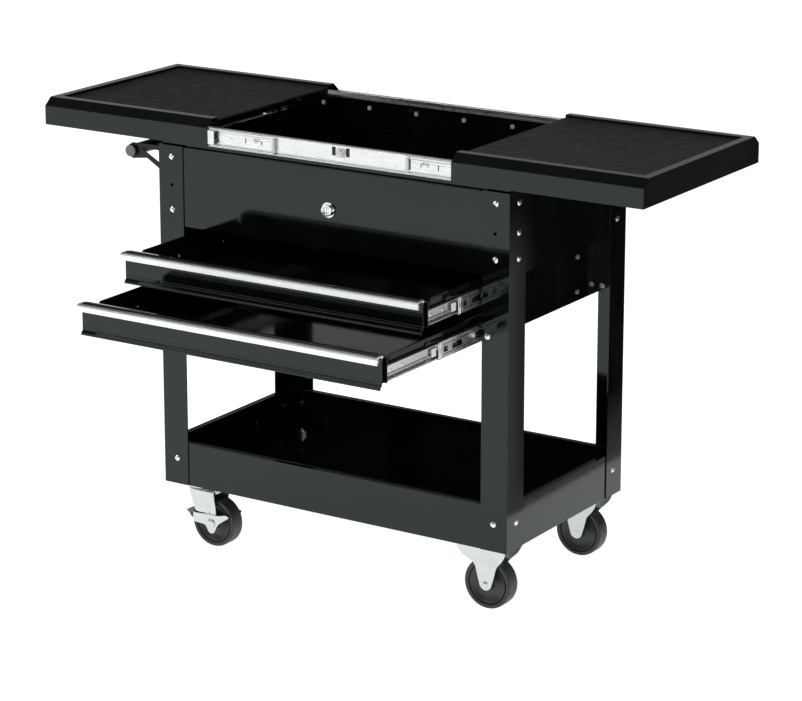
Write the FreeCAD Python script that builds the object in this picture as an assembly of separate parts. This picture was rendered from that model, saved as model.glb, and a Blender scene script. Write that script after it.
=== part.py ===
import FreeCAD, Part
import os

os.makedirs("parts", exist_ok=True)

# Driving dimensions in millimetres. +X right, -Y front, +Z up, floor at Z = 0.
BODY_W, BODY_D = 762.0, 422.0          # outside of the corner posts
HX, HY = BODY_W / 2, BODY_D / 2
POST_Z0, POST_Z1 = 124.0, 785.0        # post bottoms sit on the casters
POST_T, POST_FRONT, POST_SIDE = 2.0, 55.0, 57.0
SHEET = 1.5
BOX_Z0, BOX_Z1 = 633.0, 783.0          # top well
TRAY_Z1 = 208.0                        # top of the bottom tray walls
BAY_X, BAY_Z0 = 326.0, 508.0           # outside of the drawer bay plates, their bottom edge
STAND_Y, STAND_Z0, STAND_Z1 = 203.0, 760.0, 820.0

LID_LEN, LID_OPEN, LID_GAP = 381.5, 264.0, 0.5
LID_HY, LID_Z0, LID_Z1, LID_TOP = 217.2, 793.0, 829.0, 844.0
LID_CHAMFER, LID_RIM, LID_DEPTH, MAT_T = 17.2, 16.0, 8.0, 3.0

SLIDE_H, SLIDE_T, SLIDE_W = 35.0, 1.2, 12.7   # telescopic slide: height, gauge, total width
LID_SLIDE_X, LID_SLIDE_Z = 378.0, 812.0
MEET_X, MEET_GAP = 24.0, 10.0          # where the left and right lid slides meet at the stop bumper
DRAWER_SLIDE_L, DRAWER_SLIDE_Y0 = 380.0, -190.0
SCREW_Y = (-130.0, 128.0)              # screws along each drawer slide

DRAWER_Z = {"upper": 567.0, "lower": 500.0}   # bottom lip of each drawer front
DRAWER_OUT = {"upper": 185.0, "lower": 313.0}  # how far each drawer stands open
FRONT_HX, FRONT_H, FRONT_D = 320.0, 57.0, 18.0
DRAWER_HX, DRAWER_Y1, DRAWER_WALL = BAY_X - SHEET - SLIDE_W, 185.0, 46.0
DRAWER_FLOOR_UP, SLIDE_UP = 7.0, 25.5

WHEEL_R, WHEEL_W, AXLE_R, WHEEL_FIT = 48.0, 32.0, 4.0, 0.05
CASTER_X, CASTER_Y, TRAIL, FORK_IN, FORK_T = 323.0, 167.0, 33.0, 18.0, 2.5
PLATE_T, SWIVEL_R = 3.0, 29.0

HANDLE_X, HANDLE_Z, HANDLE_R, HANDLE_HL = 455.0, 761.0, 11.0, 200.0
BRACKET_Y, BRACKET_T, FOOT_Z0, FOOT_Z1 = 193.0, 2.5, 698.0, 777.0
BOLT_R, BOLT_HEAD, BOLT_FIT = 3.0, 5.8, 0.3
LOCK_Z, LOCK_R = 707.0, 11.0


def box(x0, x1, y0, y1, z0, z1):
    x0, x1 = sorted((x0, x1))
    y0, y1 = sorted((y0, y1))
    z0, z1 = sorted((z0, z1))
    return Part.makeBox(x1 - x0, y1 - y0, z1 - z0, FreeCAD.Vector(x0, y0, z0))


def cyl(r, h, at, along=(0, 0, 1)):
    return Part.makeCylinder(r, h, FreeCAD.Vector(*at), FreeCAD.Vector(*along))


def fuse(*shapes):
    out = shapes[0]
    for s in shapes[1:]:
        out = out.fuse(s)
    return out.removeSplitter()


def prism(points, vec):
    pts = [FreeCAD.Vector(*p) for p in points]
    return Part.Face(Part.makePolygon(pts + [pts[0]])).extrude(FreeCAD.Vector(*vec))


def save(name, *shapes):
    shape = shapes[0] if len(shapes) == 1 else Part.makeCompound(list(shapes))
    shape.exportStep("parts/" + name + ".step")


def flip_x(s):
    return s.mirror(FreeCAD.Vector(0, 0, 0), FreeCAD.Vector(1, 0, 0))


def flip_y(s):
    return s.mirror(FreeCAD.Vector(0, 0, 0), FreeCAD.Vector(0, 1, 0))


# ---- bolts: (x, z) on the front and rear faces, (y, z) on the side faces ----
FACE_BOLTS = [(352.0, 764.0), (352.0, 663.0), (337.0, 522.0), (352.0, 175.0)]
SIDE_BOLTS = [(178.0, 764.0), (178.0, 710.0), (178.0, 663.0), (178.0, 175.0)]
OPEN_HOLES = [(352.0, 710.0), (337.0, 507.0)]


def bolt(at, out):
    """Dome head, shank and nut; at is on the outer face, out points away from the body."""
    v = FreeCAD.Vector(*out)
    p = FreeCAD.Vector(*at)
    ball_r = 7.6
    drop = (ball_r ** 2 - BOLT_HEAD ** 2) ** 0.5
    ball = Part.makeSphere(ball_r, p - v * drop)
    dome = ball.common(Part.makeCylinder(BOLT_HEAD, 8.0, p, v))
    grip = POST_T + SHEET + (BRACKET_T if abs(at[0]) > HX else 0.0)
    shank = Part.makeCylinder(BOLT_R, grip + 4.2, p - v * (grip + 4.2), v)
    nut = Part.makeCylinder(5.0, 4.0, p - v * (grip + 4.0), v)
    return fuse(dome, shank, nut)


bolts, holes = [], []
for sx in (-1, 1):
    for sy in (-1, 1):
        for x, z in FACE_BOLTS:
            bolts.append(bolt((sx * x, sy * HY, z), (0, sy, 0)))
            holes.append(cyl(BOLT_R + BOLT_FIT, 30, (sx * x, sy * (HY + 5), z), (0, -sy, 0)))
        for y, z in SIDE_BOLTS:
            on_foot = sx < 0 and FOOT_Z0 < z < FOOT_Z1
            x_out = HX + (BRACKET_T if on_foot else 0.0)
            bolts.append(bolt((sx * x_out, sy * y, z), (sx, 0, 0)))
            holes.append(cyl(BOLT_R + BOLT_FIT, 30, (sx * (HX + 5), sy * y, z), (-sx, 0, 0)))
        for x, z in OPEN_HOLES:
            holes.append(cyl(BOLT_R + BOLT_FIT, 30, (sx * x, sy * (HY + 5), z), (0, -sy, 0)))
drill = Part.makeCompound(holes)
save("post_bolts", *bolts)

# ---- corner posts ----
for side, sx in (("left", -1), ("right", 1)):
    for end, sy in (("front", -1), ("rear", 1)):
        face = box(sx * (HX - POST_FRONT), sx * HX, sy * (HY - POST_T), sy * HY, POST_Z0, POST_Z1)
        wing = box(sx * (HX - POST_T), sx * HX, sy * (HY - POST_SIDE), sy * HY, POST_Z0, POST_Z1)
        save("post_" + end + "_" + side, fuse(face, wing).cut(drill))

# ---- top well and drawer bay ----
PX, PY = HX - POST_T, HY - POST_T      # inside faces of the posts
front_panel = fuse(
    box(-PX + SHEET, PX - SHEET, -PY, -PY + SHEET, BOX_Z0, BOX_Z1),
    box(-PX + SHEET, PX - SHEET, -PY, -PY + 12, BOX_Z0, BOX_Z0 + SHEET),
    box(-PX + SHEET, PX - SHEET, -PY, -STAND_Y, BOX_Z1 - SHEET, BOX_Z1))
front_panel = front_panel.cut(cyl(LOCK_R + 0.3, 20, (0, -PY - 5, LOCK_Z), (0, 1, 0))).cut(drill)
save("front_panel", front_panel)
rear_panel = fuse(
    box(-PX + SHEET, PX - SHEET, PY - SHEET, PY, BOX_Z0, BOX_Z1),
    box(-PX + POST_FRONT, PX - POST_FRONT, PY - SHEET, PY, BAY_Z0, BOX_Z0),
    box(-PX + SHEET, PX - SHEET, STAND_Y, PY, BOX_Z1 - SHEET, BOX_Z1))
save("rear_panel", rear_panel.cut(drill))
for side, sx in (("left", -1), ("right", 1)):
    wall = fuse(
        box(sx * (PX - SHEET), sx * PX, -PY, PY, BOX_Z0, BOX_Z1),
        box(sx * (PX - 12), sx * PX, -PY + SHEET + 12, PY - SHEET - 12, BOX_Z0, BOX_Z0 + SHEET),
        box(sx * (PX - 9), sx * PX, -STAND_Y + SHEET + 7, STAND_Y - SHEET - 7, BOX_Z1 - SHEET, BOX_Z1))
    save("side_panel_" + side, wall.cut(drill))
save("well_floor", box(-PX + SHEET, PX - SHEET, -PY + SHEET, PY - SHEET,
                       BOX_Z0 + SHEET, BOX_Z0 + 2 * SHEET))

screw_z = {k: v + SLIDE_UP for k, v in DRAWER_Z.items()}
for side, sx in (("left", -1), ("right", 1)):
    plate = fuse(
        box(sx * (BAY_X - SHEET), sx * BAY_X, -PY, PY, BAY_Z0, BOX_Z0),
        box(sx * BAY_X, sx * (BAY_X + 10), -PY + 14, PY - 14, BOX_Z0 - SHEET, BOX_Z0),
        box(sx * BAY_X, sx * (BAY_X + 24), -PY, -PY + SHEET, BAY_Z0, BOX_Z0),
        box(sx * BAY_X, sx * (BAY_X + 24), PY - SHEET, PY, BAY_Z0, BOX_Z0))
    for z in screw_z.values():
        for y in SCREW_Y:
            plate = plate.cut(cyl(2.3, 8, (sx * (BAY_X - 4), y, z), (sx, 0, 0)))
    save("bay_plate_" + side, plate.cut(drill))

# ---- lid upstands ----
head_x = [-289.0 + 107.5 * i for i in range(6)]
for end, sy in (("front", -1), ("rear", 1)):
    stand = fuse(
        box(-PX + SHEET, PX - SHEET, sy * (STAND_Y - SHEET), sy * STAND_Y, STAND_Z0, STAND_Z1),
        box(-PX + SHEET, PX - SHEET, sy * (STAND_Y - SHEET - 6), sy * STAND_Y,
            STAND_Z1 - SHEET, STAND_Z1))
    for x in head_x:
        stand = stand.cut(cyl(2.3, 8, (x, sy * (STAND_Y - 4), LID_SLIDE_Z - 8), (0, sy, 0)))
    save("upstand_" + end, stand)


# ---- telescopic slides: a C section swept along its length, u = across, w = up ----
def channel(across0, across1, half_h, lip, length):
    """C channel along +X from 0, web at across0, lips reaching to across1 (Y axis)."""
    s = 1 if across1 > across0 else -1
    web = box(0, length, across0, across0 + s * SLIDE_T, -half_h, half_h)
    parts = [web]
    for sz in (-1, 1):
        parts.append(box(0, length, across0, across1, sz * half_h, sz * (half_h - SLIDE_T)))
        if lip:
            parts.append(box(0, length, across1 - s * SLIDE_T, across1,
                             sz * half_h, sz * (half_h - lip)))
    return fuse(*parts)


def slide_members(length):
    """Outer, middle and inner members; outer web at Y = 0, inner web outside at Y = SLIDE_W."""
    outer = channel(0, 10.0, SLIDE_H / 2, 0, length)
    middle = channel(2.4, 10.4, SLIDE_H / 2 - 2.0, 0, length)
    inner = channel(SLIDE_W, 4.6, SLIDE_H / 2 - 4.4, 0, length)
    return outer, middle, inner


def lid_place(s, x0, sy):
    s = s.translated(FreeCAD.Vector(x0, STAND_Y, LID_SLIDE_Z))
    return flip_y(s) if sy < 0 else s


for end, sy in (("front", -1), ("rear", 1)):
    rail = lid_place(slide_members(2 * LID_SLIDE_X)[0], -LID_SLIDE_X, sy)
    for x in head_x:
        rail = rail.cut(cyl(2.3, 8, (x, sy * (STAND_Y - 4), LID_SLIDE_Z - 8), (0, sy, 0)))
    for x in (MEET_X - 15, MEET_X + 15):
        rail = rail.cut(box(x - 4, x + 4, sy * (STAND_Y - 1), sy * (STAND_Y + 3),
                            LID_SLIDE_Z - 4, LID_SLIDE_Z + 12))
    save("lid_rail_" + end, rail)
for side, sx in (("left", -1), ("right", 1)):
    length = LID_SLIDE_X - MEET_GAP - sx * MEET_X
    x0 = -LID_SLIDE_X if sx < 0 else MEET_X + MEET_GAP
    outer, middle, inner = slide_members(length)
    x_in = length - 40.0 if sx < 0 else 40.0
    for x in (x_in, length / 2, length - x_in):
        middle = middle.cut(box(x - 7, x + 7, 1, 5, 2, 7))
    save("lid_" + side + "_middle_members",
         *[lid_place(middle, x0 + sx * LID_OPEN / 2, sy) for sy in (-1, 1)])
    save("lid_" + side + "_inner_members",
         *[lid_place(inner, x0 + sx * LID_OPEN, sy) for sy in (-1, 1)])

bumpers = []
for sy in (-1, 1):
    y_web = STAND_Y + SLIDE_T
    bumpers.append(fuse(box(MEET_X - 8, MEET_X + 8, sy * y_web, sy * (y_web + 1.5),
                            LID_SLIDE_Z - 6, LID_SLIDE_Z + 10),
                        cyl(6.5, 7.0, (MEET_X, sy * y_web, LID_SLIDE_Z + 2), (0, sy, 0))))
save("rail_bumpers", *bumpers)

# ---- sliding lids and mats ----
def lid_section(x, grow):
    """Half-hat outline in the YZ plane; grow = 0 outer skin, SHEET inner skin."""
    y = LID_HY - grow
    flat = LID_HY - LID_CHAMFER - grow * 0.55
    step = LID_HY - LID_CHAMFER - LID_RIM + (grow if grow else 0.0)
    top = LID_TOP - grow
    low = LID_TOP - LID_DEPTH - grow
    knee = LID_Z1 - grow * 0.45
    half = [(y, LID_Z0), (y, knee), (flat, top), (step, top), (step, low)]
    pts = [(x, -a, b) for a, b in half] + [(x, a, b) for a, b in reversed(half)]
    return pts


def make_lid(sx):
    """Lid at its open place, outer end at sx * (LID_OPEN + 0.5 + LID_LEN)."""
    length = LID_LEN
    outer_skin = prism(lid_section(0, 0.0), (length, 0, 0))
    inner_skin = prism(lid_section(-1, SHEET), (length + 2, 0, 0))
    shell = outer_skin.cut(inner_skin)
    end = prism([(0, -LID_HY, LID_Z0), (0, -LID_HY, LID_Z1), (0, -LID_HY + LID_CHAMFER, LID_TOP),
                 (0, LID_HY - LID_CHAMFER, LID_TOP), (0, LID_HY, LID_Z1), (0, LID_HY, LID_Z0)],
                (SHEET, 0, 0))
    rim_y = LID_HY - LID_CHAMFER - LID_RIM
    rim = fuse(box(0, LID_RIM, -rim_y - 3, rim_y + 3, LID_TOP - SHEET, LID_TOP),
               box(LID_RIM - SHEET, LID_RIM, -rim_y - 1, rim_y + 1,
                   LID_TOP - LID_DEPTH - SHEET, LID_TOP))
    drop = box(length - SHEET, length, -rim_y + 4, rim_y - 4, LID_TOP - LID_DEPTH - 10,
               LID_TOP - LID_DEPTH)
    lid = fuse(shell, end, rim, drop)
    lid = lid.cut(box(SHEET, LID_RIM - SHEET, -rim_y, rim_y, LID_TOP - LID_DEPTH - SHEET - 1,
                      LID_TOP - LID_DEPTH + 1))
    lid = lid.translated(FreeCAD.Vector(-(LID_OPEN + LID_GAP + LID_LEN), 0, 0))
    return lid if sx < 0 else flip_x(lid)


mat_y = LID_HY - LID_CHAMFER - LID_RIM - 1.0
for side, sx in (("left", -1), ("right", 1)):
    save("lid_" + side, make_lid(sx))
    x_out = LID_OPEN + LID_GAP + LID_LEN - LID_RIM - 1.0
    save("mat_" + side, box(sx * (LID_OPEN + LID_GAP + 1.0), sx * x_out, -mat_y, mat_y,
                            LID_TOP - LID_DEPTH, LID_TOP - LID_DEPTH + MAT_T))


# ---- drawers ----
def front_profile(z0):
    """Folded front: kicked-out lip, outer face, rounded top and an inner face set back."""
    y, top, t = -HY, z0 + FRONT_H, SHEET
    pts = [(y - 5, z0), (y - 4.4, z0 + 4), (y, z0 + 8), (y, top - 5), (y + 1.5, top - 1.5), (y + 5, top),
           (y + FRONT_D - 5, top), (y + FRONT_D - 1.5, top - 1.5), (y + FRONT_D, top - 5),
           (y + FRONT_D, z0 + 8.5), (y + FRONT_D - t, z0 + 8.5), (y + FRONT_D - t, top - 5),
           (y + FRONT_D - 2.5, top - 2.5), (y + FRONT_D - 5, top - t), (y + 5, top - t),
           (y + 2.5, top - 2.5), (y + t, top - 5), (y + t, z0 + 7.4), (y - 3.0, z0 + 3.4),
           (y - 3.5, z0)]
    return [(-FRONT_HX, a, b) for a, b in pts]


def pull_profile(z0):
    """Hooked aluminium pull along the top of the front."""
    y, t = -HY, 1.6
    top = z0 + FRONT_H + 2.6
    pts = [(y + 5, top), (y - 11, top), (y - 14, top - 1.2), (y - 15, top - 4), (y - 15, top - 13),
           (y - 11, top - 13), (y - 11, top - 13 + t), (y - 15 + t, top - 13 + t),
           (y - 15 + t, top - 4.4), (y - 13, top - 2.4), (y - 11, top - t), (y - 1.9, top - t),
           (y - 1.9, top - 12), (y, top - 12), (y, top - 7.6), (y + 1.5, top - 4.1),
           (y + 5, top - 2.6)]
    return [(-FRONT_HX, a, b) for a, b in pts]


def side_place(s, sx, y0, z):
    """Lay a slide member along Y on a bay plate, web against the plate."""
    s = s.copy()
    s.rotate(FreeCAD.Vector(0, 0, 0), FreeCAD.Vector(0, 0, 1), 90)
    s = s.translated(FreeCAD.Vector(BAY_X - SHEET, y0, z))
    return s if sx > 0 else flip_x(s)


outer, middle, inner = slide_members(DRAWER_SLIDE_L)
for x0, x1 in ((16.0, 30.0), (44.0, 78.0), (120.0, 154.0), (226.0, 260.0), (302.0, 336.0)):
    middle = middle.cut(box(x0, x1, 1, 5, -5.5, 5.5))
slide_holes = [cyl(2.3, 8, (y - DRAWER_SLIDE_Y0, -4, 0), (0, 1, 0)) for y in SCREW_Y]
outer = outer.cut(Part.makeCompound(slide_holes))
for name, z0 in DRAWER_Z.items():
    out = DRAWER_OUT[name]
    z = z0 + SLIDE_UP
    shift = FreeCAD.Vector(0, -out, 0)
    front = prism(front_profile(z0), (2 * FRONT_HX, 0, 0))
    floor_z = z0 + DRAWER_FLOOR_UP
    y0 = -HY + SHEET
    tub = box(-DRAWER_HX, DRAWER_HX, y0, DRAWER_Y1, floor_z, floor_z + SHEET)
    wall_top = floor_z + DRAWER_WALL
    walls = [box(-DRAWER_HX, DRAWER_HX, DRAWER_Y1 - SHEET, DRAWER_Y1, floor_z, wall_top)]
    for sx in (-1, 1):
        x_in = sx * (DRAWER_HX - SHEET)
        walls.append(prism([(x_in, y0, floor_z), (x_in, y0 + 18, floor_z + 20), (x_in, y0 + 40, wall_top),
                            (x_in, DRAWER_Y1, wall_top), (x_in, DRAWER_Y1, floor_z)],
                           (sx * SHEET, 0, 0)))
        walls.append(box(sx * (DRAWER_HX - 4), sx * DRAWER_HX, y0 + 40, DRAWER_Y1,
                         wall_top - SHEET, wall_top))
    save("drawer_" + name, fuse(front, tub, *walls).translated(shift))
    save("pull_" + name, prism(pull_profile(z0), (2 * FRONT_HX, 0, 0)).translated(shift))
    save("drawer_rails_" + name,
         *[side_place(outer, sx, DRAWER_SLIDE_Y0, z) for sx in (-1, 1)])
    save("drawer_" + name + "_middle_members",
         *[side_place(middle, sx, DRAWER_SLIDE_Y0 - out / 2, z) for sx in (-1, 1)])
    save("drawer_" + name + "_inner_members",
         *[side_place(inner, sx, DRAWER_SLIDE_Y0 - out, z) for sx in (-1, 1)])

# ---- slide screws: domed heads inside the well, and through the bay plates ----
screws = []
for sy in (-1, 1):
    for x in head_x:
        y_in = sy * (STAND_Y - SHEET)
        screws.append(fuse(cyl(4.5, 2.0, (x, y_in, LID_SLIDE_Z - 8), (0, -sy, 0)),
                           cyl(2.0, SHEET + SLIDE_T, (x, y_in, LID_SLIDE_Z - 8), (0, sy, 0))))
for sx in (-1, 1):
    for z in screw_z.values():
        for y in SCREW_Y:
            screws.append(fuse(cyl(4.5, 2.0, (sx * BAY_X, y, z), (sx, 0, 0)),
                               cyl(2.0, SHEET + SLIDE_T, (sx * BAY_X, y, z), (-sx, 0, 0))))
save("slide_screws", *screws)

# ---- bottom tray ----
# one folded sheet: its floor and four walls are kept as separate solids that meet face to face
tray = [box(-PX + SHEET, PX - SHEET, -PY + SHEET, PY - SHEET, POST_Z0, POST_Z0 + SHEET)]
for sgn in (-1, 1):
    tray.append(fuse(
        box(-PX, PX, sgn * (PY - SHEET), sgn * PY, POST_Z0, TRAY_Z1),
        box(-PX, PX, sgn * (PY - 12), sgn * PY, TRAY_Z1 - SHEET, TRAY_Z1)).cut(drill))
    tray.append(fuse(
        box(sgn * (PX - SHEET), sgn * PX, -PY + SHEET, PY - SHEET, POST_Z0, TRAY_Z1 - SHEET),
        box(sgn * (PX - 12), sgn * PX, -PY + 12, PY - 12, TRAY_Z1 - SHEET, TRAY_Z1)).cut(drill))
save("bottom_tray", *tray)

# ---- lock: fixed housing and turning plug with its cam ----
LOCK_Y = -HY - 6.0
housing = fuse(cyl(LOCK_R, 24, (0, LOCK_Y, LOCK_Z), (0, 1, 0)),
               cyl(LOCK_R + 3, 2.0, (0, -PY - 2.0, LOCK_Z), (0, 1, 0)))
housing = housing.cut(cyl(7.05, 40, (0, LOCK_Y - 5, LOCK_Z), (0, 1, 0)))
save("lock_housing", housing)
plug = fuse(cyl(7.0, 29.0, (0, LOCK_Y + 0.8, LOCK_Z), (0, 1, 0)),
            box(-6, 6, LOCK_Y + 27.0, LOCK_Y + 29.8, LOCK_Z - 6, LOCK_Z + 30))
plug = plug.cut(box(-0.8, 0.8, LOCK_Y, LOCK_Y + 6, LOCK_Z - 4, LOCK_Z + 4))
save("lock_plug", plug)

# ---- side push handle ----
tube = cyl(HANDLE_R, 2 * HANDLE_HL, (-HANDLE_X, -HANDLE_HL, HANDLE_Z), (0, 1, 0)).cut(
    cyl(HANDLE_R - 1.5, 2 * HANDLE_HL, (-HANDLE_X, -HANDLE_HL, HANDLE_Z), (0, 1, 0)))
save("handle_tube", tube)
caps = []
for sy in (-1, 1):
    caps.append(fuse(cyl(HANDLE_R, 3.0, (-HANDLE_X, sy * HANDLE_HL, HANDLE_Z), (0, sy, 0)),
                     cyl(HANDLE_R - 1.5, 12.0, (-HANDLE_X, sy * HANDLE_HL, HANDLE_Z), (0, -sy, 0))))
save("handle_end_caps", *caps)
brackets = []
for sy in (-1, 1):
    yb = sy * BRACKET_Y
    arm = prism([(-HX, yb, FOOT_Z1), (-HANDLE_X, yb, HANDLE_Z + 15), (-HANDLE_X - 14, yb, HANDLE_Z + 6),
                 (-HANDLE_X - 14, yb, HANDLE_Z - 6), (-HANDLE_X, yb, HANDLE_Z - 15),
                 (-HX - 40, yb, HANDLE_Z - 11), (-HX - 9, yb, HANDLE_Z - 29), (-HX, yb, HANDLE_Z - 33)],
                (0, sy * BRACKET_T, 0))
    window = prism([(-HX - 6, yb - 5, HANDLE_Z + 7), (-HX - 52, yb - 5, HANDLE_Z + 7),
                    (-HX - 44, yb - 5, HANDLE_Z + 1), (-HX - 6, yb - 5, HANDLE_Z - 20)], (0, 15, 0))
    arm = arm.cut(window)
    arm = arm.cut(cyl(HANDLE_R + 0.05, 20, (-HANDLE_X, yb - 10, HANDLE_Z), (0, 1, 0)))
    foot = box(-HX - BRACKET_T, -HX, yb + sy * BRACKET_T, sy * (HY - POST_SIDE + 6), FOOT_Z0, FOOT_Z1)
    brackets.append(fuse(arm, foot).cut(drill))
save("handle_brackets", *brackets)

# ---- casters: right side rigid, left side swivel with a brake pedal ----
LEG = [(-58, 121), (-55, 112), (-50, 103), (-42, 99), (-34, 95.5), (-27, 90), (-22, 82), (-19.5, 72),
       (-16.5, 60), (-13, 49), (-11.5, 43), (-7.5, 38.5), (0, 36.8), (7.5, 38.5), (11.5, 43), (13, 49),
       (16.5, 60), (19.5, 72), (21.5, 82), (25, 89), (31, 93), (39, 96), (45, 106), (48, 113), (48, 121)]


def axle(x, y):
    half = FORK_IN + FORK_T + 3.0
    rod = cyl(AXLE_R, 2 * half, (x, y - half, WHEEL_R), (0, 1, 0))
    head = cyl(6.5, 3.5, (x, y - half - 0.5, WHEEL_R), (0, 1, 0))
    tail = cyl(6.5, 3.5, (x, y + half - 3.0, WHEEL_R), (0, 1, 0))
    return fuse(rod, head, tail)


def wheel(x, y):
    at = (x, y - WHEEL_W / 2, WHEEL_R)
    body = cyl(WHEEL_R, WHEEL_W, at, (0, 1, 0))
    body = body.makeChamfer(3.0, [e for e in body.Edges if len(e.Vertexes) == 1])
    for yy in (y - WHEEL_W / 2 - 1, y + WHEEL_W / 2 - 5):
        dish = cyl(34.0, 6.0, (x, yy, WHEEL_R), (0, 1, 0)).cut(
            cyl(13.0, 6.0, (x, yy, WHEEL_R), (0, 1, 0)))
        body = body.cut(dish)
    hub = cyl(13.0, 2 * FORK_IN - 0.8, (x, y - FORK_IN + 0.4, WHEEL_R), (0, 1, 0))
    return fuse(body, hub).cut(cyl(AXLE_R + WHEEL_FIT, 60, (x, y - 30, WHEEL_R), (0, 1, 0)))


for end, sy in (("front", -1), ("rear", 1)):
    yc = sy * CASTER_Y
    z_top = POST_Z0 - PLATE_T
    # rigid
    plate = box(CASTER_X - 58, CASTER_X + 48, yc - 33, yc + 33, z_top, POST_Z0)
    legs = []
    for s in (-1, 1):
        y_leg = yc + s * FORK_IN
        legs.append(prism([(CASTER_X + x, y_leg, z) for x, z in LEG], (0, s * FORK_T, 0)))
    save("rigid_caster_" + end, fuse(plate, *legs, axle(CASTER_X, yc)))
    save("wheel_" + end + "_right", wheel(CASTER_X, yc))
    # swivel
    xs, xa = -CASTER_X, -CASTER_X + TRAIL
    top = fuse(box(xs - 47, xs + 47, yc - 33, yc + 33, z_top, POST_Z0),
               cyl(SWIVEL_R, 5.0, (xs, yc, z_top - 5.0)),
               cyl(6.0, 12.0, (xs, yc, z_top - 12.0)))
    save("swivel_plate_" + end, top)
    crown_top = z_top - 5.3
    crown = fuse(cyl(SWIVEL_R - 2, 5.0, (xs, yc, crown_top - 5.0)),
                 box(xs - 16, xa + 6, yc - FORK_IN - FORK_T, yc + FORK_IN + FORK_T,
                     crown_top - 5.0, crown_top - 5.0 + FORK_T))
    crown = crown.cut(cyl(6.05, 20, (xs, yc, crown_top - 10.0)))
    sides = []
    for s in (-1, 1):
        y_leg = yc + s * FORK_IN
        sides.append(prism([(xs - 16, y_leg, crown_top - 3), (xs - 14, y_leg, crown_top - 20),
                            (xa - 9, y_leg, WHEEL_R + 10), (xa - 9, y_leg, WHEEL_R - 6),
                            (xa - 5, y_leg, WHEEL_R - 11), (xa + 5, y_leg, WHEEL_R - 11),
                            (xa + 9, y_leg, WHEEL_R - 6), (xa + 10, y_leg, WHEEL_R + 12),
                            (xa + 6, y_leg, crown_top - 3)], (0, s * FORK_T, 0)))
    save("swivel_fork_" + end, fuse(crown, *sides, axle(xa, yc)))
    save("wheel_" + end + "_left", wheel(xa, yc))
    # pedal: two cheeks outside the fork joined by a tread behind the wheel
    cheeks = []
    for s in (-1, 1):
        y_in = yc + s * (FORK_IN + FORK_T + 0.3)
        cheek = prism([(xa - 66, y_in, WHEEL_R + 9), (xa - 66, y_in, WHEEL_R + 3),
                       (xa - 30, y_in, WHEEL_R - 4), (xa, y_in, WHEEL_R - 10),
                       (xa + 14, y_in, WHEEL_R - 3), (xa + 38, y_in, WHEEL_R + 9),
                       (xa + 36, y_in, WHEEL_R + 15), (xa, y_in, WHEEL_R + 11)], (0, s * 2.0, 0))
        cheeks.append(cheek.cut(cyl(6.6, 20, (xa, y_in - 10, WHEEL_R), (0, 1, 0))))
    reach = FORK_IN + FORK_T + 2.3
    tread = box(xa - 70, xa - 52, yc - reach, yc + reach, WHEEL_R + 4, WHEEL_R + 7)
    save("brake_pedal_" + end, fuse(*cheeks, tread))
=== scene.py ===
import math

import bmesh
import bpy
from mathutils import Matrix, Vector


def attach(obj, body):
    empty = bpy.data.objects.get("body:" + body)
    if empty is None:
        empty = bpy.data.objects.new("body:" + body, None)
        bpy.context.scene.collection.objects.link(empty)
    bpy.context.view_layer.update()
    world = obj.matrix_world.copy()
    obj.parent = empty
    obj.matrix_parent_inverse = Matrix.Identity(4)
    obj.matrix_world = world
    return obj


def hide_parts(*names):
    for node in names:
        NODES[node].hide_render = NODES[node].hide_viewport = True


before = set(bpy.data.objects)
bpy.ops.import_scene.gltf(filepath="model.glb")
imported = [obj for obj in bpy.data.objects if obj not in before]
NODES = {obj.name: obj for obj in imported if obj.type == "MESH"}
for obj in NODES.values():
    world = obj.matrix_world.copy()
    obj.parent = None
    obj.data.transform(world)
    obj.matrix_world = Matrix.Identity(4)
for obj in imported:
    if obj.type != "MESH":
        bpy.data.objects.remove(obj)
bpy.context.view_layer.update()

MM = 0.001
ENDS = (("front", -1), ("rear", 1))
SIDES = (("left", -1), ("right", 1))


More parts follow.
